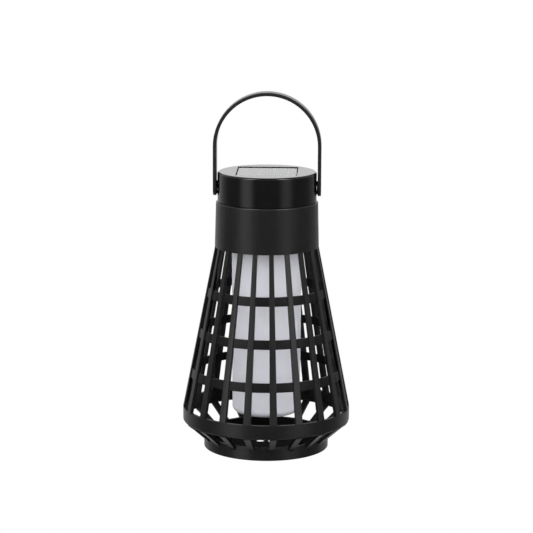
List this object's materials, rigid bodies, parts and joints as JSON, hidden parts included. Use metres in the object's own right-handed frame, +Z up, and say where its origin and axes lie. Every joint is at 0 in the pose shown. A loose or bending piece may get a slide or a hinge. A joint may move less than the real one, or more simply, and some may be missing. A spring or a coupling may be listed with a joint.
{
  "type": "solar garden lantern",
  "caption": "Free-standing solar garden lantern with a slotted cage, a frosted diffuser and a bail handle on a lift-out solar head.",
  "frame": {"origin": "centre of the ground contact plane of the base ring, on the lantern's axis", "axes": "+Z up along the lantern's axis, handle pivots along X, push button towards -Y"},
  "size_m": [0.14, 0.14, 0.2991],
  "materials": {
    "cage_black": "satin",
    "floor_black": "polished",
    "cap_black": "polished",
    "handle_black": "satin",
    "frosted_white": "frosted",
    "housing_black": "satin",
    "screw_steel": "plated",
    "seal_rubber": "matte",
    "foam_white": "matte",
    "backing_board": "matte",
    "cell_silicon": "polished",
    "clear_resin": "polished",
    "wire_sleeve": "satin",
    "board_green": "satin",
    "board_chips": "satin",
    "led_resin": "polished",
    "cell_jacket": "polished",
    "contact_nickel": "plated",
    "button_orange": "satin"
  },
  "bodies": {
    "stand": {"cage": "cage_black", "floor_plate": "floor_black"},
    "head": {"diffuser": "frosted_white", "housing": "housing_black", "housing_screws": "screw_steel", "gasket": "seal_rubber", "cap": "cap_black", "panel_tape": "foam_white", "panel_backing": "backing_board", "solar_cells": "cell_silicon", "panel_cover": "clear_resin", "panel_wires": "wire_sleeve", "circuit_board": "board_green", "board_parts": "board_chips", "led": "led_resin", "battery": "cell_jacket", "contact_spring": "contact_nickel", "contact_plate": "contact_nickel", "battery_wires": "wire_sleeve", "switch_body": "housing_black"},
    "bail": {"handle": "handle_black"},
    "button": {"push_button": "button_orange"}
  },
  "joints": [
    {"name": "head_lift", "type": "slide", "parent": "stand", "child": "head", "axis": [0, 0, 1], "range_m": [0, 0.19]},
    {"name": "handle_swing", "type": "hinge", "parent": "head", "child": "bail", "pos_m": [0, 0, 0.22], "axis": [1, 0, 0], "range_deg": [-120, 120]},
    {"name": "button_press", "type": "slide", "parent": "head", "child": "button", "axis": [0, 0, 1], "range_m": [0, 0.0012], "stiffness_N_per_m": 400, "springref_m": -0.001}
  ]
}
